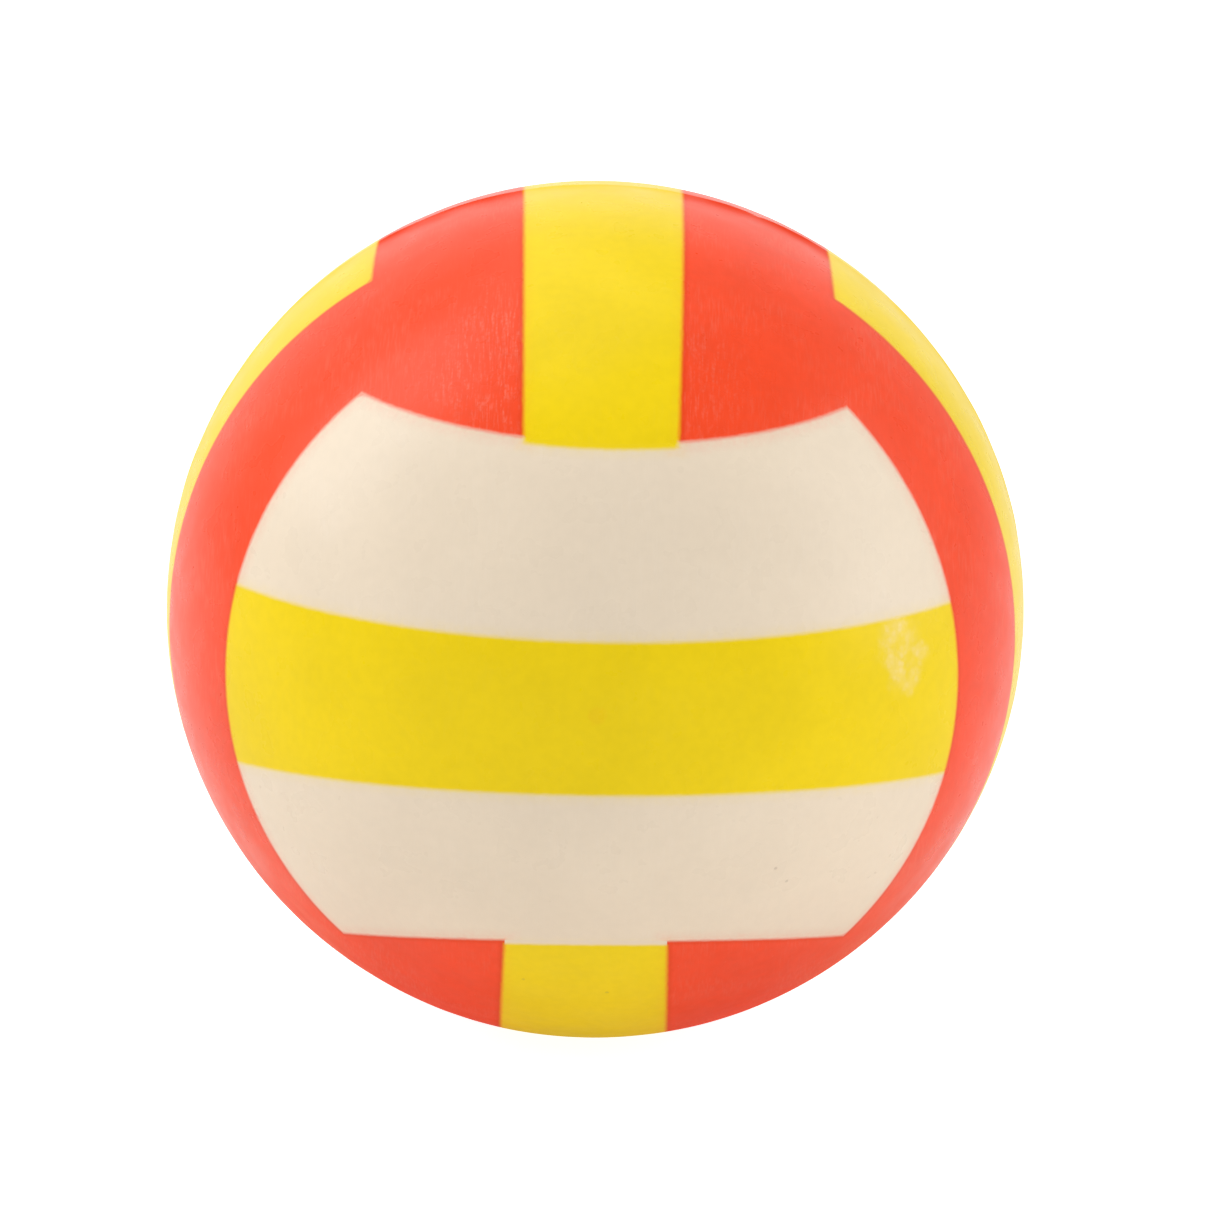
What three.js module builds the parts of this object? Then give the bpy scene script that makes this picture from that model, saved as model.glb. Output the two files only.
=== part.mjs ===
// A soft foam stress ball with the look of a volleyball. A foam core sits inside a denser skin, and the
// skin is coloured in eighteen areas: three strips on each of six faces. Squeezing the ball presses its
// crown, the top face, down into the rest, which lies on the bottom face, the base.
//
// Millimetres, +Z up, origin at the ball's centre, front towards -Y.
import * as THREE from "three";

// Driving dimensions, in millimetres.
const BALL_RADIUS = 31.5;
const SKIN_THICKNESS = 1.2;
const PANEL_GAP = 0.3; // between neighbouring areas of skin, and between the skin and the core
const SLIDE_GAP = 0.5; // round the crown, which slides inside the faces round it
const CONTACT_RADIUS = 4.4; // of the small flat that the ball's own weight presses at the bottom

// How far below the ball's centre the contact flat is.
const CONTACT_DEPTH = Math.sqrt(BALL_RADIUS ** 2 - CONTACT_RADIUS ** 2);

// The pattern, on a sphere of radius 1. Three faces meet at each of its eight corners. These four are round
// the front face, given as distances from the centre along x, y and z, and the back face's mirror them.
const CORNERS = {
  upperLeft: new THREE.Vector3(0.523, 0.595, 0.612).normalize(),
  upperRight: new THREE.Vector3(0.543, 0.584, 0.606).normalize(),
  lowerLeft: new THREE.Vector3(0.551, 0.532, 0.644).normalize(),
  lowerRight: new THREE.Vector3(0.583, 0.522, 0.622).normalize(),
};

// The halves of the faces, with angles in degrees from the face's middle, measured across its strips: to
// the edge of the middle strip, and to the border of the face. The bow tilts the plane of the strip's edge:
// below 0, the edge bends towards the face's middle line. The skew turns the edge in the face.
const UPPER_HALF = { edge: 9.1, bow: -2.3, skew: -0.1, border: 34.0 };
const LOWER_HALF = { edge: 10.6, bow: -6.6, skew: -0.7, border: 33.8 };
const LEFT_HALF = { edge: 11.9, bow: -2.7, skew: 3.3, border: 35.2 };
const RIGHT_HALF = { edge: 15.8, bow: 2.1, skew: -3.1, border: 35.8 };
const CROWN_LEFT_HALF = { edge: 10.8, bow: 0.9, skew: -1.4, border: 31.4 };
const CROWN_RIGHT_HALF = { edge: 10.1, bow: 0.9, skew: -0.3, border: 31.0 };
const BASE_LEFT_HALF = { edge: 11.3, bow: 2.3, skew: 0, border: 31.2 };
const BASE_RIGHT_HALF = { edge: 11.1, bow: 0.9, skew: -0.5, border: 31.2 };

// How finely each area is divided. Middle strips have an even number of cells each way, which puts a vertex
// at the middle of each face, or very near it, so that the solid is as wide as the ball.
const CELLS_ALONG = 16;
const CELLS_ACROSS_OUTER = 3;
const CELLS_ACROSS_MIDDLE = 2;
const CONTACT_CELLS = { along: 20, across: 4 };
const CORE_SEGMENTS = 24;

const CREAM = { color: 0xe6d8bf, roughness: 0.5, metalness: 0 };
const YELLOW = { color: 0xedd22a, roughness: 0.5, metalness: 0 };
const RED = { color: 0xfb5a42, roughness: 0.5, metalness: 0 };
const FOAM = { color: 0xf3ead2, roughness: 0.95, metalness: 0 };

const RIGHT = new THREE.Vector3(1, 0, 0);
const BACK = new THREE.Vector3(0, 1, 0);
const UP = new THREE.Vector3(0, 0, 1);
const LEFT = RIGHT.clone().negate();
const FRONT = BACK.clone().negate();
const DOWN = UP.clone().negate();

// Each face: where it points, which way its strips lie side by side, and its two halves, the first of
// them on the side that `across` points to.
const FACES = [
  {
    name: "front",
    normal: FRONT,
    across: UP,
    colour: CREAM,
    halves: [UPPER_HALF, LOWER_HALF],
    sides: ["upper", "lower"],
  },
  {
    name: "back",
    normal: BACK,
    across: UP,
    colour: CREAM,
    halves: [UPPER_HALF, LOWER_HALF],
    sides: ["upper", "lower"],
  },
  {
    name: "left",
    normal: LEFT,
    across: FRONT,
    colour: RED,
    halves: [LEFT_HALF, LEFT_HALF],
    sides: ["front", "back"],
  },
  {
    name: "right",
    normal: RIGHT,
    across: FRONT,
    colour: RED,
    halves: [RIGHT_HALF, RIGHT_HALF],
    sides: ["front", "back"],
  },
  {
    name: "crown",
    normal: UP,
    across: RIGHT,
    colour: RED,
    halves: [CROWN_RIGHT_HALF, CROWN_LEFT_HALF],
    sides: ["right", "left"],
  },
  {
    name: "base",
    normal: DOWN,
    across: RIGHT,
    colour: RED,
    halves: [BASE_RIGHT_HALF, BASE_LEFT_HALF],
    sides: ["right", "left"],
  },
];

// A point on the unit sphere, turned by some degrees from one direction towards another at right angles.
function turned(from, towards, angle) {
  const radians = THREE.MathUtils.degToRad(angle);
  return from.clone().multiplyScalar(Math.cos(radians)).addScaledVector(towards, Math.sin(radians));
}

// The corner of the pattern in the octant that a direction points into.
function cornerTowards(direction) {
  const height = direction.z > 0 ? "upper" : "lower";
  const corner = CORNERS[height + (direction.x > 0 ? "Right" : "Left")];
  return new THREE.Vector3(
    Math.sign(direction.x) * corner.x,
    Math.sign(direction.y) * corner.y,
    Math.sign(direction.z) * corner.z,
  );
}

// Every line of the pattern is a circle, where a plane cuts the unit sphere. This plane is the border of a
// face on one side, through two corners and the border's middle, and its normal points out of the face.
function borderPlane(face, half) {
  const side = half === 0 ? face.across : face.across.clone().negate();
  const along = new THREE.Vector3().crossVectors(face.across, face.normal);
  const towardsSide = face.normal.clone().add(side);
  const plane = new THREE.Plane().setFromCoplanarPoints(
    cornerTowards(towardsSide.clone().add(along)),
    turned(face.normal, side, face.halves[half].border),
    cornerTowards(towardsSide.clone().sub(along)),
  );
  return plane.normal.dot(side) < 0 ? plane.negate() : plane;
}

// The plane of the middle strip's edge on one side, with its normal pointing out of the middle strip.
function edgePlane(face, half) {
  const side = half === 0 ? face.across : face.across.clone().negate();
  const along = new THREE.Vector3().crossVectors(side, face.normal);
  const { edge, bow, skew } = face.halves[half];
  const normal = turned(turned(side, face.normal, -bow), along, skew);
  return new THREE.Plane().setFromNormalAndCoplanarPoint(normal, turned(face.normal, side, edge));
}

// The border at the end of a face's strips, which is the neighbouring face's border on this side.
function endPlane(face, direction) {
  const neighbour = FACES.find((other) => other.normal.distanceTo(direction) < 1e-6);
  const half = neighbour.across.dot(face.normal) > 0 ? 0 : 1;
  return borderPlane(neighbour, half).negate();
}

// A plane moved into its area by half a gap, measured along the surface of the ball.
function inset(plane, gap) {
  const circleRadius = Math.sqrt(1 - plane.constant ** 2);
  return new THREE.Plane(plane.normal, plane.constant + ((gap / 2) * circleRadius) / BALL_RADIUS);
}

// The point of the unit sphere that lies on two planes. There are two such points, and this is the one that
// lies further in some direction.
function meeting(planeA, planeB, towards) {
  const direction = new THREE.Vector3().crossVectors(planeA.normal, planeB.normal);
  const onBoth = new THREE.Vector3()
    .addScaledVector(new THREE.Vector3().crossVectors(planeB.normal, direction), -planeA.constant)
    .addScaledVector(new THREE.Vector3().crossVectors(direction, planeA.normal), -planeB.constant)
    .divideScalar(direction.lengthSq());
  direction.normalize();
  if (direction.dot(towards) < 0) direction.negate();
  return onBoth.addScaledVector(direction, Math.sqrt(1 - onBoth.lengthSq()));
}

// A point part of the way from one point to another, along the circle that a plane cuts from the unit
// sphere.
function alongCircle(plane, from, to, share) {
  const centre = plane.normal.clone().multiplyScalar(-plane.constant);
  const start = from.clone().sub(centre);
  const finish = to.clone().sub(centre);
  const turn = new THREE.Vector3().crossVectors(start, finish).dot(plane.normal) < 0 ? -1 : 1;
  return start.applyAxisAngle(plane.normal, turn * share * start.angleTo(finish)).add(centre);
}

// One area of skin between four lines: a box whose two large faces are bent onto the outer and the inner
// sphere. The points between the lines are blended from the lines themselves.
function skinPanel(lines, along, cells) {
  const { low, high, start, end } = lines;
  const planes = {};
  for (const [key, line] of Object.entries(lines)) {
    planes[key] = inset(line.plane, line.slides ? SLIDE_GAP : PANEL_GAP);
  }
  const backwards = along.clone().negate();
  const lowStart = meeting(planes.low, planes.start, backwards);
  const lowEnd = meeting(planes.low, planes.end, along);
  const highStart = meeting(planes.high, planes.start, backwards);
  const highEnd = meeting(planes.high, planes.end, along);

  const directionAt = (u, v) =>
    new THREE.Vector3()
      .addScaledVector(alongCircle(planes.low, lowStart, lowEnd, u), 1 - v)
      .addScaledVector(alongCircle(planes.high, highStart, highEnd, u), v)
      .addScaledVector(alongCircle(planes.start, lowStart, highStart, v), 1 - u)
      .addScaledVector(alongCircle(planes.end, lowEnd, highEnd, v), u)
      .addScaledVector(lowStart, -(1 - u) * (1 - v))
      .addScaledVector(lowEnd, -u * (1 - v))
      .addScaledVector(highStart, -(1 - u) * v)
      .addScaledVector(highEnd, -u * v)
      .normalize();

  const innerRadius = BALL_RADIUS - SKIN_THICKNESS;
  const geometry = new THREE.BoxGeometry(1, 1, 1, cells.along, cells.across, 1);
  geometry.translate(0.5, 0.5, 0.5);
  const position = geometry.getAttribute("position");
  for (let i = 0; i < position.count; i += 1) {
    const [u, v, outside] = [position.getX(i), position.getY(i), position.getZ(i)];
    const point = directionAt(u, v).multiplyScalar(BALL_RADIUS);
    const onSlidingEnd = (u === 0 && start.slides) || (u === 1 && end.slides);
    const onSlidingSide = (v === 0 && low.slides) || (v === 1 && high.slides);
    if (outside === 0 && (onSlidingEnd || onSlidingSide)) {
      // Walls that slide past each other run straight down, so that they stay clear all the way.
      point.z = Math.sqrt(innerRadius ** 2 - point.x ** 2 - point.y ** 2);
    } else if (outside === 0) {
      point.setLength(innerRadius);
    } else {
      point.z = Math.max(point.z, -CONTACT_DEPTH);
    }
    position.setXYZ(i, point.x, point.y, point.z);
  }
  geometry.computeVertexNormals();
  return geometry;
}

// The three strips of a face: two outer ones in the face's colour, and a yellow one between them.
function facePanels(face) {
  const along = new THREE.Vector3().crossVectors(face.across, face.normal);
  const backwards = along.clone().negate();
  const slidesTowards = (direction) => face.normal.z > 0 || direction.z > 0;
  const start = { plane: endPlane(face, backwards), slides: slidesTowards(backwards) };
  const end = { plane: endPlane(face, along), slides: slidesTowards(along) };
  const borders = [
    { plane: borderPlane(face, 0), slides: slidesTowards(face.across) },
    { plane: borderPlane(face, 1), slides: slidesTowards(face.across.clone().negate()) },
  ];
  const edges = [0, 1].map((half) => ({ plane: edgePlane(face, half), slides: false }));
  const flipped = (line) => ({ plane: line.plane.clone().negate(), slides: line.slides });

  const outerCells = { along: CELLS_ALONG, across: CELLS_ACROSS_OUTER };
  const middleCells = { along: CELLS_ALONG, across: CELLS_ACROSS_MIDDLE };
  const outerName = (half) => `${face.name}_${face.sides[half]}_strip`;
  return [
    {
      name: outerName(0),
      material: face.colour,
      geometry: skinPanel({ low: flipped(edges[0]), high: borders[0], start, end }, along, outerCells),
    },
    {
      name: `${face.name}_middle_strip`,
      material: YELLOW,
      geometry: skinPanel(
        { low: edges[1], high: edges[0], start, end },
        along,
        face.name === "base" ? CONTACT_CELLS : middleCells,
      ),
    },
    {
      name: outerName(1),
      material: face.colour,
      geometry: skinPanel({ low: borders[1], high: flipped(edges[1]), start, end }, along, outerCells),
    },
  ];
}

function foamCore() {
  const radius = BALL_RADIUS - SKIN_THICKNESS - PANEL_GAP;
  const geometry = new THREE.SphereGeometry(radius, CORE_SEGMENTS, CORE_SEGMENTS / 2);
  geometry.rotateX(Math.PI / 2);
  return { name: "foam_core", material: FOAM, geometry };
}

const stressBall = new THREE.Group();
for (const piece of [foamCore(), ...FACES.flatMap(facePanels)]) {
  const mesh = new THREE.Mesh(piece.geometry, new THREE.MeshStandardMaterial(piece.material));
  mesh.name = piece.name;
  stressBall.add(mesh);
}

export default stressBall;
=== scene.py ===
"""A soft foam stress ball with the colours of a volleyball, lying in a light tent.

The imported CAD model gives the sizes, the bodies and the motion. Each of its plain solids is replaced here by
a fine mesh: eighteen painted areas of skin, which meet without a gap, and the foam core inside them.

Metres, +Z up, origin at the ball's centre, front towards -Y. Surface detail is measured in millimetres.
"""

import math

import bmesh
import bpy
import numpy as np
from mathutils import Matrix, Vector
from mathutils.kdtree import KDTree


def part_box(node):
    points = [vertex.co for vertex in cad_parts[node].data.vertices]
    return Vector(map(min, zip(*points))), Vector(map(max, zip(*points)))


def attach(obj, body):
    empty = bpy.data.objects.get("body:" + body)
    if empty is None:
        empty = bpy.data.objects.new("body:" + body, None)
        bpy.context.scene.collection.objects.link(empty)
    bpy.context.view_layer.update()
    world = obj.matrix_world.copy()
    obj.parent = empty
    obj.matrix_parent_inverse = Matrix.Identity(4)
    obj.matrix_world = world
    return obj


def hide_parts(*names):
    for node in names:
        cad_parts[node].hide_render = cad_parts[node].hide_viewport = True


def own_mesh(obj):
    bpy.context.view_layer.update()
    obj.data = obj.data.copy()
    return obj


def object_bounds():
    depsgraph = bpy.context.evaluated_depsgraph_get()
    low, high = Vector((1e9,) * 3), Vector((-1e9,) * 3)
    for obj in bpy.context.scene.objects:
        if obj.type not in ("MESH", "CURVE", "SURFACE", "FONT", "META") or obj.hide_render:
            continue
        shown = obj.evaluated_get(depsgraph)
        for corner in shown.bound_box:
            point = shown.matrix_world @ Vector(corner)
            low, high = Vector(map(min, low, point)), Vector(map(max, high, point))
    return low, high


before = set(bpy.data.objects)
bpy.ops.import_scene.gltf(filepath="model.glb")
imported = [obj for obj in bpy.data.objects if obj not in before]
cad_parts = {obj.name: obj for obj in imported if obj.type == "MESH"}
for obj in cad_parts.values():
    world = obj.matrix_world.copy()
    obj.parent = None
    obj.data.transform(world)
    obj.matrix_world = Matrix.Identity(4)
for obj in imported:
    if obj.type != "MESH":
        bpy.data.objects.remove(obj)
CAD_LOW, CAD_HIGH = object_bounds()

MM = 0.001
BALL_RADIUS = (CAD_HIGH.x - CAD_LOW.x) / 2
CONTACT_DEPTH = -CAD_LOW.z  # from the centre to the flat that the ball rests on
CORE_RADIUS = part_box("foam_core")[1].z
SKIN_THICKNESS = 0.8 * (BALL_RADIUS - CORE_RADIUS)
SKIN_INSIDE = BALL_RADIUS - SKIN_THICKNESS

# The mesh grid over the skin, finer beside the mould's parting line.
GRID_STEP = 0.4 * MM
PARTING_STEP = 0.08 * MM
PARTING_REACH = 1.2 * MM

# The relief of the surface.
PARTING_HEIGHT = 0.05 * MM
RIDGE_REACH = (0.40 * MM, 0.16 * MM)  # the ridge has a gentle front side and a steep back side
PARTING_SHADE_REACH = (2.10 * MM, 0.16 * MM)  # and a wider band of painted shade, darker paint, lies in front of it
PARTING_BREAK = np.array([0.349, 0.0, 0.937])  # where the ridge was nicked, as a direction
BREAK_WIDTH = 0.45 * MM
UNEVEN_HEIGHT = 0.012 * MM
DIMPLE_HEIGHT = 0.004 * MM

# The pattern, on a sphere of radius 1, is the one of the CAD model. These corners are round the front face,
# as distances from the centre along x, y and z, and the back face's mirror them.
CORNERS = {
    "upper left": np.array([0.523, 0.595, 0.612]),
    "upper right": np.array([0.543, 0.584, 0.606]),
    "lower left": np.array([0.551, 0.532, 0.644]),
    "lower right": np.array([0.583, 0.522, 0.622]),
}
# For each half of a face, the degrees from its middle to the edge of its middle strip and to its border. The
# bow tilts the plane of the strip's edge: below 0, the edge bends towards the face's middle line. The skew
# turns the edge in the face.
UPPER_HALF = {"edge": 9.1, "bow": -2.3, "skew": -0.1, "border": 34.0}
LOWER_HALF = {"edge": 10.6, "bow": -6.6, "skew": -0.7, "border": 33.8}
LEFT_HALF = {"edge": 11.9, "bow": -2.7, "skew": 3.3, "border": 35.2}
RIGHT_HALF = {"edge": 15.8, "bow": 2.1, "skew": -3.1, "border": 35.8}
CROWN_LEFT_HALF = {"edge": 10.8, "bow": 0.9, "skew": -1.4, "border": 31.4}
CROWN_RIGHT_HALF = {"edge": 10.1, "bow": 0.9, "skew": -0.3, "border": 31.0}
BASE_LEFT_HALF = {"edge": 11.3, "bow": 2.3, "skew": 0.0, "border": 31.2}
BASE_RIGHT_HALF = {"edge": 11.1, "bow": 0.9, "skew": -0.5, "border": 31.2}

RIGHT = np.array([1.0, 0.0, 0.0])
BACK = np.array([0.0, 1.0, 0.0])
UP = np.array([0.0, 0.0, 1.0])

# Each face: where it points, which way its strips lie side by side, and its two halves, the first of them
# on the side that "across" points to.
FACES = [
    {
        "name": "front",
        "normal": -BACK,
        "across": UP,
        "paint": "cream",
        "halves": (UPPER_HALF, LOWER_HALF),
        "sides": ("upper", "lower"),
    },
    {
        "name": "back",
        "normal": BACK,
        "across": UP,
        "paint": "cream",
        "halves": (UPPER_HALF, LOWER_HALF),
        "sides": ("upper", "lower"),
    },
    {
        "name": "left",
        "normal": -RIGHT,
        "across": -BACK,
        "paint": "red",
        "halves": (LEFT_HALF, LEFT_HALF),
        "sides": ("front", "back"),
    },
    {
        "name": "right",
        "normal": RIGHT,
        "across": -BACK,
        "paint": "red",
        "halves": (RIGHT_HALF, RIGHT_HALF),
        "sides": ("front", "back"),
    },
    {
        "name": "crown",
        "normal": UP,
        "across": RIGHT,
        "paint": "red",
        "halves": (CROWN_RIGHT_HALF, CROWN_LEFT_HALF),
        "sides": ("right", "left"),
    },
    {
        "name": "base",
        "normal": -UP,
        "across": RIGHT,
        "paint": "red",
        "halves": (BASE_RIGHT_HALF, BASE_LEFT_HALF),
        "sides": ("right", "left"),
    },
]

# The paint's edges are sprayed softly over this many millimetres each way. The crown's yellow laps over the
# cream at its ends, and the cream laps over the ends of the base's yellow, by some millimetres.
BORDER_SOFTNESS = 0.24
CREAM_LAP = 0.42
LAPS = {"crown_middle": 0.45, "base_middle": -CREAM_LAP}

# ---------------------------------------------------------------- the pattern's geometry
# A plane is an array of four numbers: its normal, and a constant, with normal . point + constant = 0 on it.


def unit(vectors):
    return vectors / np.linalg.norm(vectors, axis=-1, keepdims=True)


def turned(start, towards, degrees):
    """A direction turned by some degrees from one direction towards another at right angles to it."""
    angle = math.radians(degrees)
    return math.cos(angle) * start + math.sin(angle) * towards


def half_on(face, side):
    return face["halves"][0 if side @ face["across"] > 0 else 1]


def corner_towards(direction):
    """The corner of the pattern in the octant that a direction points into."""
    height = "upper" if direction[2] > 0 else "lower"
    side = "right" if direction[0] > 0 else "left"
    return unit(np.sign(direction) * CORNERS[f"{height} {side}"])


def border_plane(face, side):
    """The border of a face on one side, through two corners. Its normal points out of the face."""
    along = np.cross(face["across"], face["normal"])
    middle = turned(face["normal"], side, half_on(face, side)["border"])
    first = corner_towards(face["normal"] + side + along)
    last = corner_towards(face["normal"] + side - along)
    normal = unit(np.cross(first - middle, last - middle))
    if normal @ side < 0:
        normal = -normal
    return np.append(normal, -normal @ middle)


def edge_plane(face, side):
    """The middle strip's edge on one side. Its normal points out of the middle strip."""
    half = half_on(face, side)
    middle = turned(face["normal"], side, half["edge"])
    normal = turned(side, face["normal"], -half["bow"])
    normal = turned(normal, np.cross(side, face["normal"]), half["skew"])
    return np.append(normal, -normal @ middle)


def end_plane(face, direction):
    """The end of a face's strips, which is the neighbouring face's border on this side."""
    neighbour = next(other for other in FACES if other["normal"] @ direction > 0.9)
    return -border_plane(neighbour, face["normal"])


def strips_of(face):
    """The three strips of a face. The normals of the four planes round each strip point out of it: low and
    high are its long edges, and start and end are its ends."""
    along = np.cross(face["across"], face["normal"])
    first_edge, last_edge = edge_plane(face, face["across"]), edge_plane(face, -face["across"])
    first_border, last_border = border_plane(face, face["across"]), border_plane(face, -face["across"])
    long_edges = {
        face["sides"][0]: (-first_edge, first_border),
        "middle": (last_edge, first_edge),
        face["sides"][1]: (last_border, -last_edge),
    }
    return [
        {
            "face": face["name"],
            "name": f"{face['name']}_{place}",
            "paint": "yellow" if place == "middle" else face["paint"],
            "along": along,
            "low": low,
            "high": high,
            "start": end_plane(face, -along),
            "end": end_plane(face, along),
        }
        for place, (low, high) in long_edges.items()
    ]


STRIPS = [strip for face in FACES for strip in strips_of(face)]


def meeting(plane_a, plane_b, towards):
    """The point of the unit sphere that lies on two planes, and of the two such points the one that lies
    further in some direction."""
    direction = np.cross(plane_a[:3], plane_b[:3])
    on_both = -plane_a[3] * np.cross(plane_b[:3], direction) - plane_b[3] * np.cross(direction, plane_a[:3])
    on_both = on_both / (direction @ direction)
    direction = unit(direction) * np.sign(direction @ towards)
    return on_both + math.sqrt(1 - on_both @ on_both) * direction


def along_circle(plane, start, finish, shares):
    """Points at shares of the way from start to finish on the circle that a plane cuts from the sphere."""
    normal = plane[:3]
    centre = -plane[3] * normal
    ray, last_ray = start - centre, finish - centre
    sideways = np.cross(normal, ray)
    angles = shares[:, None] * math.atan2(sideways @ last_ray, ray @ last_ray)
    return centre + np.cos(angles) * ray + np.sin(angles) * sideways


def directions_in(strip, shares_along, shares_across):
    """A grid of directions that fills a strip, blended from the four lines round it."""
    along = strip["along"]
    low_start = meeting(strip["low"], strip["start"], -along)
    low_end = meeting(strip["low"], strip["end"], along)
    high_start = meeting(strip["high"], strip["start"], -along)
    high_end = meeting(strip["high"], strip["end"], along)
    low = along_circle(strip["low"], low_start, low_end, shares_along)[:, None]
    high = along_circle(strip["high"], high_start, high_end, shares_along)[:, None]
    start = along_circle(strip["start"], low_start, high_start, shares_across)[None]
    end = along_circle(strip["end"], low_end, high_end, shares_across)[None]
    u, v = shares_along[:, None, None], shares_across[None, :, None]
    corners = (1 - u) * ((1 - v) * low_start + v * high_start) + u * ((1 - v) * low_end + v * high_end)
    return unit((1 - v) * low + v * high + (1 - u) * start + u * end - corners)


def beyond(plane, directions):
    """Angles from the circle that a plane cuts from the sphere, above 0 on the side its normal points to."""
    return np.arcsin(directions @ plane[:3]) + math.asin(plane[3])


def distance_to(paint, directions):
    """Millimetres over the surface to the nearest strip with this paint. It is below 0 inside one."""
    nearest = np.full(len(directions), np.inf)
    for strip in STRIPS:
        if strip["paint"] != paint:
            continue
        past_sides = np.maximum(beyond(strip["low"], directions), beyond(strip["high"], directions))
        first_half = directions @ strip["along"] < 0
        past_end = np.where(first_half, beyond(strip["start"], directions), beyond(strip["end"], directions))
        past_end = past_end - LAPS.get(strip["name"], 0.0) * MM / BALL_RADIUS
        nearest = np.minimum(nearest, np.maximum(past_sides, past_end))
    return nearest * BALL_RADIUS / MM


# ---------------------------------------------------------------- the surface's relief


def waves(directions, wavelength, seed):
    """Smooth random heights, about -1 to 1, from waves that run in all directions."""
    source = np.random.default_rng(seed)
    count = 24
    wave_vectors = unit(source.normal(size=(count, 3))) * 2 * math.pi * BALL_RADIUS / wavelength
    phases = source.uniform(0, 2 * math.pi, count)
    return np.sin(directions @ wave_vectors.T + phases).sum(axis=-1) / math.sqrt(count)


def parting_line(directions, reach):
    """The line where the mould's two halves met, at the ball's widest section between front and back. It is 1
    on the line and falls to 0 within its reach in front and behind. It wanders a little, its strength varies,
    and it is nicked in one place."""
    off_line = directions[..., 1] * BALL_RADIUS + 0.05 * MM * waves(directions, 9 * MM, 11)
    strength = np.clip(0.85 + 0.25 * waves(directions, 4 * MM, 12), 0.3, 1.1)
    to_break = np.linalg.norm(directions - PARTING_BREAK, axis=-1) * BALL_RADIUS
    strength = strength * (1 - np.exp(-((to_break / BREAK_WIDTH) ** 4)))
    return strength * np.exp(-((off_line / np.where(off_line < 0, *reach)) ** 2))


def surface_radius(directions):
    uneven = UNEVEN_HEIGHT * waves(directions, 16 * MM, 1)
    dimples = DIMPLE_HEIGHT * waves(directions, 2.2 * MM, 2)
    return BALL_RADIUS + uneven + dimples + PARTING_HEIGHT * parting_line(directions, RIDGE_REACH)


# ---------------------------------------------------------------- the skin's meshes


def shares_of(points, crosses_parting):
    """Shares of the length of a row of points, one for each step of the grid, with finer steps beside the
    parting line where the row crosses it halfway."""
    length = BALL_RADIUS * np.linalg.norm(np.diff(points, axis=0), axis=-1).sum()
    shares = np.linspace(0, 1, round(length / GRID_STEP) + 1)
    if not crosses_parting:
        return shares
    fine = 0.5 + np.arange(-PARTING_REACH, PARTING_REACH + PARTING_STEP / 2, PARTING_STEP) / length
    coarse = shares[np.abs(shares - 0.5) > (PARTING_REACH + GRID_STEP / 2) / length]
    return np.sort(np.concatenate([coarse, fine]))


def shell_mesh(name, outer, inner):
    """A closed shell between two grids of points of the same size."""
    columns, rows = outer.shape[:2]
    count = columns * rows
    index = np.arange(count).reshape(columns, rows)
    corners = [index[:-1, :-1], index[1:, :-1], index[1:, 1:], index[:-1, 1:]]
    outside = np.stack(corners, axis=-1).reshape(-1, 4)
    inside = outside[:, ::-1] + count
    rim = np.concatenate([index[:-1, 0], index[-1, :-1], index[:0:-1, -1], index[0, :0:-1]])
    following = np.roll(rim, -1)
    walls = np.stack([rim, rim + count, following + count, following], axis=-1)
    mesh = bpy.data.meshes.new(name)
    vertices = np.concatenate([outer.reshape(-1, 3), inner.reshape(-1, 3)])
    mesh.from_pydata(vertices.tolist(), [], np.concatenate([outside, inside, walls]).tolist())
    mesh.polygons.foreach_set("use_smooth", [True] * len(mesh.polygons))
    mesh.set_sharp_from_angle(angle=math.radians(40))
    mesh.validate()
    return mesh


def store(mesh, name, values):
    """Keeps a number or a vector for each vertex, for the materials to read."""
    kind, field = ("FLOAT_VECTOR", "vector") if values.shape[-1:] == (3,) else ("FLOAT", "value")
    attribute = mesh.attributes.new(name, kind, "POINT")
    attribute.data.foreach_set(field, values.astype(np.float32).ravel())


def skin_piece(strip):
    samples = np.linspace(0, 1, 9)
    coarse = directions_in(strip, samples, samples)
    shares_along = shares_of(coarse[:, 4], strip["face"] in ("crown", "base"))
    shares_across = shares_of(coarse[4], strip["name"] in ("left_middle", "right_middle"))
    directions = directions_in(strip, shares_along, shares_across)

    outer = directions * surface_radius(directions)[..., None]
    outer[..., 2] = np.maximum(outer[..., 2], -CONTACT_DEPTH)
    mesh = shell_mesh(f"skin_{strip['name']}", outer, directions * SKIN_INSIDE)

    flat = directions.reshape(-1, 3)
    store(mesh, "place", np.concatenate([flat, flat]) * BALL_RADIUS / MM)
    red, yellow, cream = (distance_to(paint, flat) for paint in ("red", "yellow", "cream"))
    if strip["name"] == "base_middle":
        cream = cream - CREAM_LAP
    cream = np.maximum(cream, -yellow)
    # The band in front of the parting line, where the paints carry painted shade and the gloss is matt
    parting_shade = parting_line(flat, PARTING_SHADE_REACH)
    for name, values in (("red_mm", red), ("yellow_mm", yellow), ("cream_mm", cream), ("parting_shade", parting_shade)):
        store(mesh, name, np.concatenate([values, values]))

    piece = bpy.data.objects.new(mesh.name, mesh)
    bpy.context.scene.collection.objects.link(piece)
    mesh.materials.append(MATERIALS[strip["paint"]])
    return piece


# ---------------------------------------------------------------- the foam core's mesh

FOAM_CELL = 1.6 * MM
FOAM_CELL_DEPTH = 0.35 * MM
FOAM_CLEARANCE = 0.08 * MM  # to the inside of the skin


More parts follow.
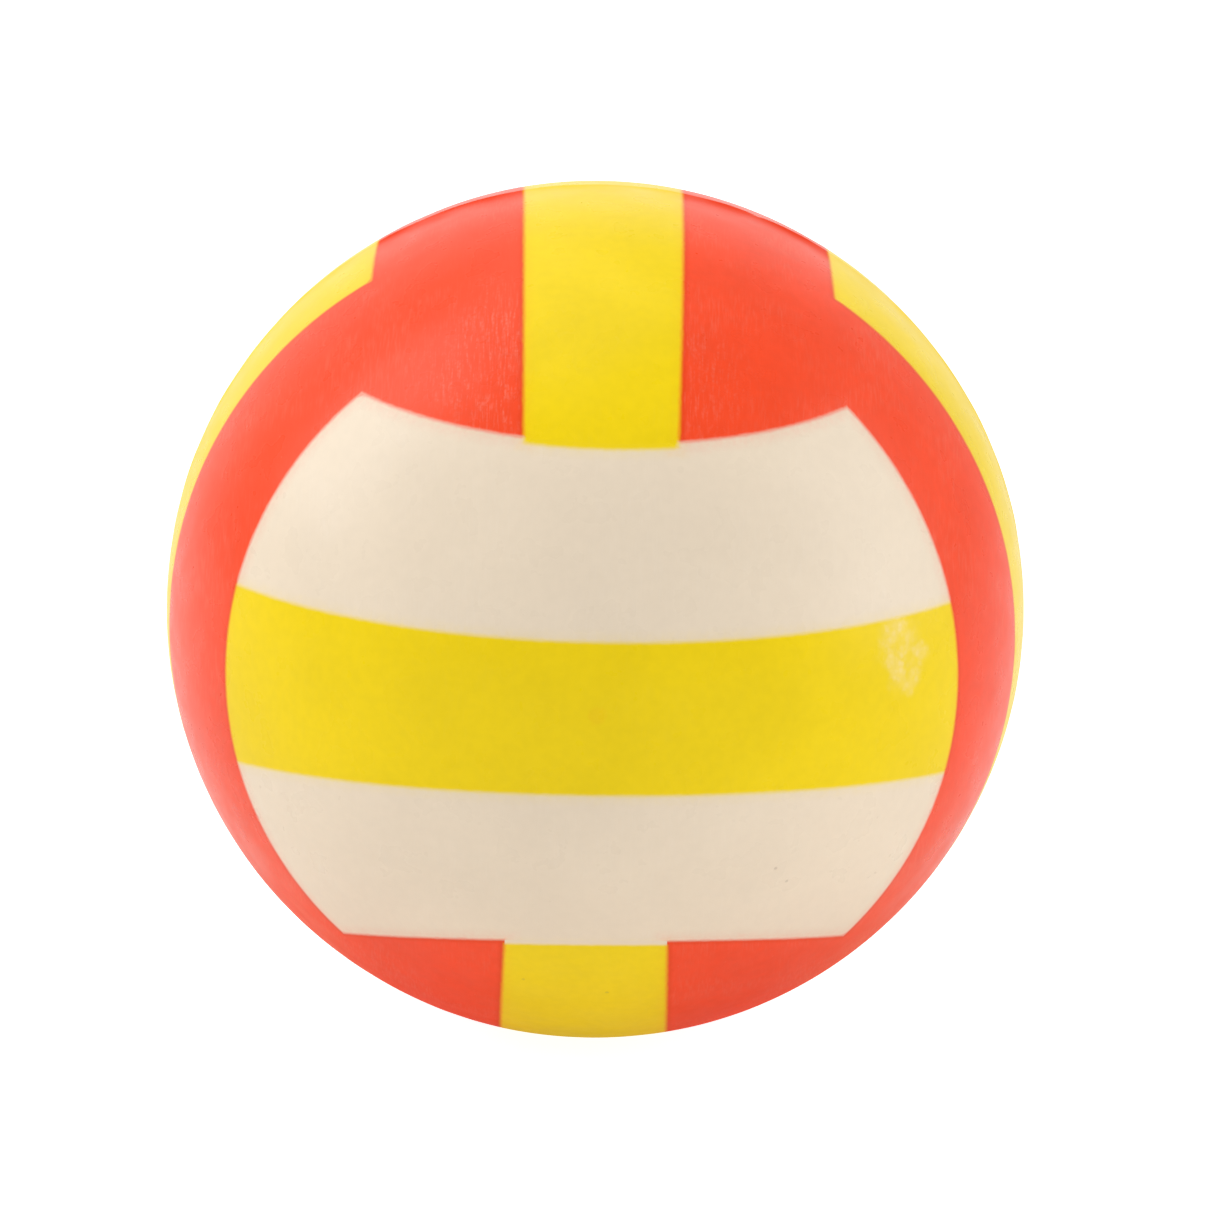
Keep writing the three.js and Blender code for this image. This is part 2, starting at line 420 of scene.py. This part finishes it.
def foam_core():
    """A ball of foam cut through its cells: a cup for each cell, with thin walls standing between them."""
    shape = bmesh.new()
    bmesh.ops.create_icosphere(shape, subdivisions=7, radius=1.0)
    mesh = bpy.data.meshes.new("foam_inside")
    shape.to_mesh(mesh)
    shape.free()

    radius = SKIN_INSIDE - FOAM_CLEARANCE
    source = np.random.default_rng(5)
    cell_count = round(4 * math.pi * radius**2 / FOAM_CELL**2)
    centres = unit(source.normal(size=(cell_count, 3)))
    tree = KDTree(cell_count)
    for number, centre in enumerate(centres):
        tree.insert(centre, number)
    tree.balance()
    places = []
    for vertex in mesh.vertices:
        direction = vertex.co.normalized()
        (_, _, nearest), (_, _, second) = tree.find_n(direction, 2)
        wall = min((second - nearest) * radius / (0.35 * FOAM_CELL), 1.0)
        depth = FOAM_CELL_DEPTH * wall * wall * (3 - 2 * wall)
        places.append(direction * (radius - depth))
    mesh.vertices.foreach_set("co", np.array(places).ravel())
    mesh.polygons.foreach_set("use_smooth", [True] * len(mesh.polygons))
    mesh.update()
    store(mesh, "place", np.array(places) / MM)

    piece = bpy.data.objects.new("foam_inside", mesh)
    bpy.context.scene.collection.objects.link(piece)
    mesh.materials.append(MATERIALS["foam"])
    return piece


# ---------------------------------------------------------------- materials


def linear(red, green, blue):
    """A colour given by its sRGB values from 0 to 255, as the linear values that a shader takes."""
    shares = [value / 255 for value in (red, green, blue)]
    return (*[s / 12.92 if s <= 0.04045 else ((s + 0.055) / 1.055) ** 2.4 for s in shares], 1.0)


class Nodes:
    """The node tree of one new material, with short ways to add to it. Each way returns an output socket."""

    def __init__(self, name):
        self.material = bpy.data.materials.new(name)
        self.material.use_nodes = True
        self.tree = self.material.node_tree
        self.shader = self.tree.nodes["Principled BSDF"]
        self.place = self.attribute("place", "Vector")
        self.height = self.add("ShaderNodeSeparateXYZ", {0: self.place}, "Z")

    def add(self, kind, inputs, output, **settings):
        node = self.tree.nodes.new(kind)
        for name, value in settings.items():
            setattr(node, name, value)
        for key, value in inputs.items():
            if isinstance(value, bpy.types.NodeSocket):
                self.tree.links.new(value, node.inputs[key])
            else:
                node.inputs[key].default_value = value
        return node.outputs[output]

    def attribute(self, name, output="Fac"):
        return self.add("ShaderNodeAttribute", {}, output, attribute_name=name)

    def math(self, operation, *values):
        return self.add("ShaderNodeMath", dict(enumerate(values)), "Value", operation=operation)

    def vector(self, operation, output, *values):
        return self.add("ShaderNodeVectorMath", dict(enumerate(values)), output, operation=operation)

    def ramp(self, value, start, finish, low=0.0, high=1.0):
        """Goes smoothly from low to high while the value goes from start to finish."""
        inputs = {0: value, 1: start, 2: finish, 3: low, 4: high}
        return self.add("ShaderNodeMapRange", inputs, "Result", interpolation_type="SMOOTHSTEP")

    def noise(self, size, detail=2.0, stretch=(1, 1, 1), seed=0.0):
        """Cloudy noise about 0.5, with features of a size in millimetres, drawn out by stretch."""
        scale = tuple(1 / (size * factor) for factor in stretch)
        scaled = self.vector("MULTIPLY", "Vector", self.place, scale)
        moved = self.vector("ADD", "Vector", scaled, (seed, seed, seed))
        return self.add("ShaderNodeTexNoise", {"Vector": moved, "Scale": 1.0, "Detail": detail}, "Fac")

    def spots(self, spacing, radius, share, seed=0.0):
        """Round spots of a radius in millimetres: 1 at a spot's middle. Only a share of the cells has one."""
        moved = self.vector("ADD", "Vector", self.place, (seed, seed, seed))
        cells = self.add(
            "ShaderNodeTexVoronoi", {"Vector": moved, "Scale": 1 / spacing}, "Distance", voronoi_dimensions="3D"
        )
        chosen = self.math("LESS_THAN", self.add("ShaderNodeSeparateColor", {0: cells.node.outputs["Color"]}, 0), share)
        return self.math("MULTIPLY", self.ramp(cells, radius / spacing, 0.0), chosen)

    def mix(self, factor, first, second, blend="MIX"):
        inputs = {0: factor, 6: first, 7: second}
        return self.add("ShaderNodeMix", inputs, 2, data_type="RGBA", blend_type=blend)


def paint_coat(name, colour, variation, wear):
    """What the three paints share: cloudy and mottled colour, worn streaks and pale pinholes. The variation
    and the wear say how strong they are."""
    nodes = Nodes(name)
    cloudy = nodes.noise(9.0, detail=3.0, seed=3.0)
    mottle = nodes.noise(0.7, seed=17.0)
    shade = nodes.ramp(cloudy, 0.3, 0.7, 1 - variation, 1 + variation)
    shade = nodes.math("MULTIPLY", shade, nodes.ramp(mottle, 0.25, 0.75, 1 - 0.6 * variation, 1 + 0.6 * variation))
    grey = nodes.add("ShaderNodeCombineColor", {0: shade, 1: shade, 2: shade}, 0)
    base = nodes.mix(1.0, linear(*colour), grey, "MULTIPLY")

    worn = linear(*[value + 0.45 * (255 - value) for value in colour])
    patches = nodes.ramp(nodes.noise(6.0, seed=31.0), 0.4, 0.62, 0.2, 1.3)
    streak = nodes.noise(0.14, stretch=(1, 9, 9), seed=29.0)
    worn_lines = nodes.math("MULTIPLY", nodes.ramp(streak, 0.4, 0.8, 0.0, wear), patches)
    base = nodes.mix(worn_lines, base, worn)
    pinholes = nodes.spots(1.1, 0.11, 0.3, seed=41.0)
    base = nodes.mix(nodes.math("MULTIPLY", pinholes, 1.8 * wear), base, worn)
    return nodes, base, streak, pinholes


def finish_paint(nodes, base, streak, pinholes, gloss, peel_height, parting_matt):
    """Joins the colour to the shader, with the fine relief of sprayed paint and a patchy satin gloss, which
    is matt at the parting line and rubbed matt underneath."""
    nodes.tree.links.new(base, nodes.shader.inputs["Base Color"])
    roughness = nodes.ramp(nodes.noise(2.5, detail=3.0, seed=53.0), 0.3, 0.7, 0.26, 0.33)
    roughness = nodes.math("MULTIPLY_ADD", nodes.attribute("parting_shade"), parting_matt, roughness)
    roughness = nodes.math("ADD", roughness, nodes.ramp(nodes.height, -13.0, -28.0, 0.0, 0.38))
    nodes.tree.links.new(roughness, nodes.shader.inputs["Roughness"])
    nodes.shader.inputs["Specular IOR Level"].default_value = gloss

    peel = nodes.noise(0.5, seed=61.0)
    grain = nodes.noise(0.14, seed=71.0)
    height = nodes.math("MULTIPLY", peel, peel_height * MM)
    height = nodes.math("MULTIPLY_ADD", grain, 0.3 * peel_height * MM, height)
    height = nodes.math("MULTIPLY_ADD", streak, 0.2 * peel_height * MM, height)
    height = nodes.math("MULTIPLY_ADD", pinholes, -0.4 * peel_height * MM, height)
    normal = nodes.add("ShaderNodeBump", {"Height": height, "Distance": 1.0, "Strength": 1.0}, "Normal")
    nodes.tree.links.new(normal, nodes.shader.inputs["Normal"])
    return nodes.material


def near(nodes, attribute, reach, inside=0.0, wander=0.25):
    """1 at the border with another paint, or that many millimetres inside it, fading to 0 at reach
    millimetres from it, with an uneven edge."""
    uneven = nodes.math("MULTIPLY_ADD", nodes.noise(0.6, seed=83.0), wander, -wander / 2)
    return nodes.ramp(nodes.math("ADD", nodes.attribute(attribute), uneven), reach, -inside)


def blemish(nodes, azimuth, elevation, radius):
    """1 at a place on the ball, fading to 0 at a radius in millimetres. Azimuth 0 is the front, 90 the right."""
    a, e = math.radians(azimuth), math.radians(elevation)
    towards = (math.sin(a) * math.cos(e), -math.cos(a) * math.cos(e), math.sin(e))
    centre = tuple(component * BALL_RADIUS / MM for component in towards)
    distance = nodes.vector("DISTANCE", "Value", nodes.place, centre)
    uneven = nodes.math("MULTIPLY_ADD", nodes.noise(0.8 * radius, seed=97.0), radius, -0.5 * radius)
    return nodes.ramp(nodes.math("ADD", distance, uneven), radius, 0.5 * radius)


def tinted(nodes, base, mask, strength, colour):
    """Mixes a colour over the base where a mask is above 0."""
    return nodes.mix(nodes.math("MULTIPLY", mask, strength), base, linear(*colour))


def soft_border(nodes, base, attribute, colour):
    """Blends to a neighbouring paint over its border, halfway at the border itself."""
    share = near(nodes, attribute, BORDER_SOFTNESS, inside=BORDER_SOFTNESS, wander=0.12)
    return tinted(nodes, base, share, 1.0, colour)


def overspray(nodes, base, attribute, reach, strength, colour):
    """A thin mist of a neighbouring paint, a little uneven."""
    mist = near(nodes, attribute, reach, wander=0.5)
    mist = nodes.math("MULTIPLY", mist, nodes.ramp(nodes.noise(0.3), 0.3, 0.75, 0.5, 1.0))
    return tinted(nodes, base, mist, strength, colour)


def red_paint():
    nodes, base, streak, pinholes = paint_coat("red_paint", RED, 0.035, 0.10)
    grainy = nodes.math("MULTIPLY_ADD", blemish(nodes, 15.0, 43.0, 6.0), 0.5, blemish(nodes, -18.0, 45.0, 8.0))
    grainy = nodes.math("MULTIPLY", grainy, nodes.ramp(streak, 0.42, 0.72))
    grainy = nodes.math("MULTIPLY", grainy, nodes.ramp(nodes.noise(0.25, seed=37.0), 0.35, 0.65))
    base = tinted(nodes, base, grainy, 0.2, PALE_RED)
    base = tinted(nodes, base, near(nodes, "yellow_mm", 0.6), 0.95, DARK_RED)
    underneath = nodes.math("MULTIPLY", near(nodes, "cream_mm", 0.6), nodes.ramp(nodes.height, -8.0, -18.0))
    base = tinted(nodes, base, underneath, 1.0, DARK_RED)
    # Painted shade: a deeper red band along the front of the parting line's ridge
    base = tinted(nodes, base, nodes.attribute("parting_shade"), 1.0, PARTING_SHADE_RED)
    base = soft_border(nodes, base, "yellow_mm", YELLOW)
    base = soft_border(nodes, base, "cream_mm", CREAM)
    return finish_paint(nodes, base, streak, pinholes, gloss=0.19, peel_height=0.0025, parting_matt=0.65)


def yellow_paint():
    nodes, base, streak, pinholes = paint_coat("yellow_paint", YELLOW, 0.028, 0.02)
    # Painted shade: a faint orange darkening along the front of the parting line's ridge
    base = tinted(nodes, base, nodes.attribute("parting_shade"), 0.1, ORANGE)

    speckles = nodes.math("MULTIPLY_ADD", nodes.spots(0.42, 0.36, 0.8, seed=5.0), 0.5, 0.5)
    speckles = nodes.math("MULTIPLY", speckles, nodes.ramp(nodes.noise(1.3, seed=7.0), 0.35, 0.6, 0.3, 1.0))
    scuff = nodes.math("MAXIMUM", blemish(nodes, 42.0, 6.4, 2.5), blemish(nodes, 43.6, 3.4, 2.4))
    base = tinted(nodes, base, nodes.math("MULTIPLY", scuff, speckles), 0.42, FLAKED)
    base = tinted(nodes, base, blemish(nodes, 0.7, -0.1, 0.8), 0.12, ORANGE)
    for azimuth, elevation in ((-10.9, -43.2), (4.1, -45.7)):
        base = tinted(nodes, base, blemish(nodes, azimuth, elevation, 0.17), 0.22, SPECK)

    base = overspray(nodes, base, "red_mm", 1.0, 0.06, RED)
    base = soft_border(nodes, base, "red_mm", RED)
    base = soft_border(nodes, base, "cream_mm", CREAM)
    return finish_paint(nodes, base, streak, pinholes, gloss=0.17, peel_height=0.0009, parting_matt=0.2)


def cream_paint():
    nodes, base, streak, pinholes = paint_coat("cream_paint", CREAM, 0.018, 0.06)
    for azimuth, elevation in ((28.8, -24.7), (26.4, -22.3)):
        base = tinted(nodes, base, blemish(nodes, azimuth, elevation, 0.17), 0.27, SPECK)

    base = overspray(nodes, base, "red_mm", 1.3, 0.16, RED)
    base = overspray(nodes, base, "yellow_mm", 1.0, 0.15, YELLOW)
    base = soft_border(nodes, base, "red_mm", RED)
    base = soft_border(nodes, base, "yellow_mm", YELLOW)
    return finish_paint(nodes, base, streak, pinholes, gloss=0.25, peel_height=0.0009, parting_matt=0.0)


def foam_material():
    nodes = Nodes("open_cell_foam")
    cloudy = nodes.noise(4.0, detail=4.0)
    base = nodes.mix(nodes.ramp(cloudy, 0.35, 0.65), linear(*FOAM), linear(*FOAM_SHADE))
    nodes.tree.links.new(base, nodes.shader.inputs["Base Color"])
    nodes.shader.inputs["Roughness"].default_value = 0.95
    height = nodes.math("MULTIPLY", nodes.noise(0.3, detail=3.0), 0.08 * MM)
    normal = nodes.add("ShaderNodeBump", {"Height": height, "Distance": 1.0, "Strength": 1.0}, "Normal")
    nodes.tree.links.new(normal, nodes.shader.inputs["Normal"])
    return nodes.material


RED = (243, 72, 31)
DARK_RED = (230, 62, 4)
PARTING_SHADE_RED = (228, 55, 6)
PALE_RED = (252, 170, 150)
YELLOW = (240, 209, 2)
ORANGE = (240, 160, 20)
FLAKED = (250, 228, 190)
CREAM = (233, 216, 192)
SPECK = (120, 104, 84)
FOAM = (240, 230, 205)
FOAM_SHADE = (226, 212, 180)

MATERIALS = {
    "red": red_paint(),
    "yellow": yellow_paint(),
    "cream": cream_paint(),
    "foam": foam_material(),
}

# ---------------------------------------------------------------- building the ball


def rest_and_squeeze(piece, body):
    """The piece rides on its body, the crown or the ball, with a mesh of its own."""
    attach(piece, body)
    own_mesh(piece)


for strip in STRIPS:
    skin = skin_piece(strip)
    rest_and_squeeze(skin, "crown" if strip["face"] == "crown" else "ball")
    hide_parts(f"{strip['name']}_strip")

core = foam_core()
rest_and_squeeze(core, "ball")
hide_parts("foam_core")

# ---------------------------------------------------------------- floor, light and camera


def glow_seen_directly(tree, strength, otherwise, direct):
    """Links a light's strength so that it has one value where the camera sees it, and another elsewhere."""
    ray = tree.nodes.new("ShaderNodeLightPath")
    value = tree.nodes.new("ShaderNodeMapRange")
    value.inputs["To Min"].default_value = otherwise
    value.inputs["To Max"].default_value = direct
    tree.links.new(ray.outputs["Is Camera Ray"], value.inputs["Value"])
    tree.links.new(value.outputs["Result"], strength)


def pale_floor():
    """A wide, plain, pale floor. It glows a little, as the lit cloth of a light tent does."""
    mesh = bpy.data.meshes.new("tent_floor")
    half = 3.0
    corners = [(x, y, -CONTACT_DEPTH) for x, y in ((-half, -half), (half, -half), (half, half), (-half, half))]
    mesh.from_pydata(corners, [], [(0, 1, 2, 3)])
    material = bpy.data.materials.new("tent_cloth")
    material.use_nodes = True
    shader = material.node_tree.nodes["Principled BSDF"]
    shader.inputs["Base Color"].default_value = (0.62, 0.62, 0.62, 1)
    shader.inputs["Roughness"].default_value = 1.0
    shader.inputs["Specular IOR Level"].default_value = 0.0
    shader.inputs["Emission Color"].default_value = (1, 1, 1, 1)
    glow_seen_directly(material.node_tree, shader.inputs["Emission Strength"], FLOOR_GLOW, FLOOR_WHITE)
    mesh.materials.append(material)
    floor = bpy.data.objects.new("tent_floor", mesh)
    bpy.context.scene.collection.objects.link(floor)


def softbox(name, azimuth, elevation, distance, width, height, radiance):
    """A soft rectangular light that faces the ball, from an azimuth (0 is the front, 90 the right)."""
    light = bpy.data.lights.new(name, "AREA")
    light.shape = "RECTANGLE"
    light.size = width
    light.size_y = height
    light.energy = radiance * math.pi * width * height
    lamp = bpy.data.objects.new(name, light)
    bpy.context.scene.collection.objects.link(lamp)
    a, e = math.radians(azimuth), math.radians(elevation)
    towards = Vector((math.sin(a) * math.cos(e), -math.cos(a) * math.cos(e), math.sin(e)))
    lamp.location = towards * distance
    lamp.visible_camera = False
    lamp.rotation_euler = towards.to_track_quat("Z", "Y").to_euler()


def tent_walls():
    """Even light from every side. The camera sees the tent's wall as plain white."""
    world = bpy.data.worlds.new("tent_walls")
    bpy.context.scene.world = world
    world.use_nodes = True
    tree = world.node_tree
    tree.nodes.clear()
    background = tree.nodes.new("ShaderNodeBackground")
    output = tree.nodes.new("ShaderNodeOutputWorld")
    glow_seen_directly(tree, background.inputs["Strength"], WALL_LIGHT, 1.0)
    tree.links.new(background.outputs["Background"], output.inputs["Surface"])


def camera():
    """A long lens, a little above the ball and leaning slightly, so that the ball fills most of the view."""
    tilt = Matrix.Rotation(math.radians(CAMERA_ROLL), 4, "Z")
    turn = Matrix.Rotation(math.radians(90 - CAMERA_PITCH), 4, "X")
    data = bpy.data.cameras.new("camera")
    data.sensor_width = 36.0
    data.lens = LENS
    data.dof.use_dof = False
    data.clip_start = 0.01
    data.clip_end = 20.0
    viewer = bpy.data.objects.new("camera", data)
    bpy.context.scene.collection.objects.link(viewer)
    viewer.matrix_world = turn @ tilt @ Matrix.Translation((*CAMERA_OFFSET, CAMERA_DISTANCE))
    bpy.context.scene.camera = viewer


FLOOR_GLOW = 0.33
FLOOR_WHITE = 0.92
WALL_LIGHT = 0.78
CAMERA_PITCH = 13.11
CAMERA_ROLL = 1.47
CAMERA_DISTANCE = 11.24 * BALL_RADIUS
CAMERA_OFFSET = (0.0276 * BALL_RADIUS, 0.0049 * BALL_RADIUS)
LENS = 142.3

pale_floor()
softbox("softbox_left", -88, 40, 0.8, 0.42, 0.70, 3.2)
softbox("softbox_right", 83, 20, 0.8, 0.55, 0.65, 2.1)
softbox("softbox_back", 190, 25, 0.8, 1.40, 0.75, 0.42)
softbox("softbox_top", 230, 78, 0.8, 0.60, 0.60, 1.0)
tent_walls()
camera()
bpy.context.scene.view_settings.view_transform = "Standard"
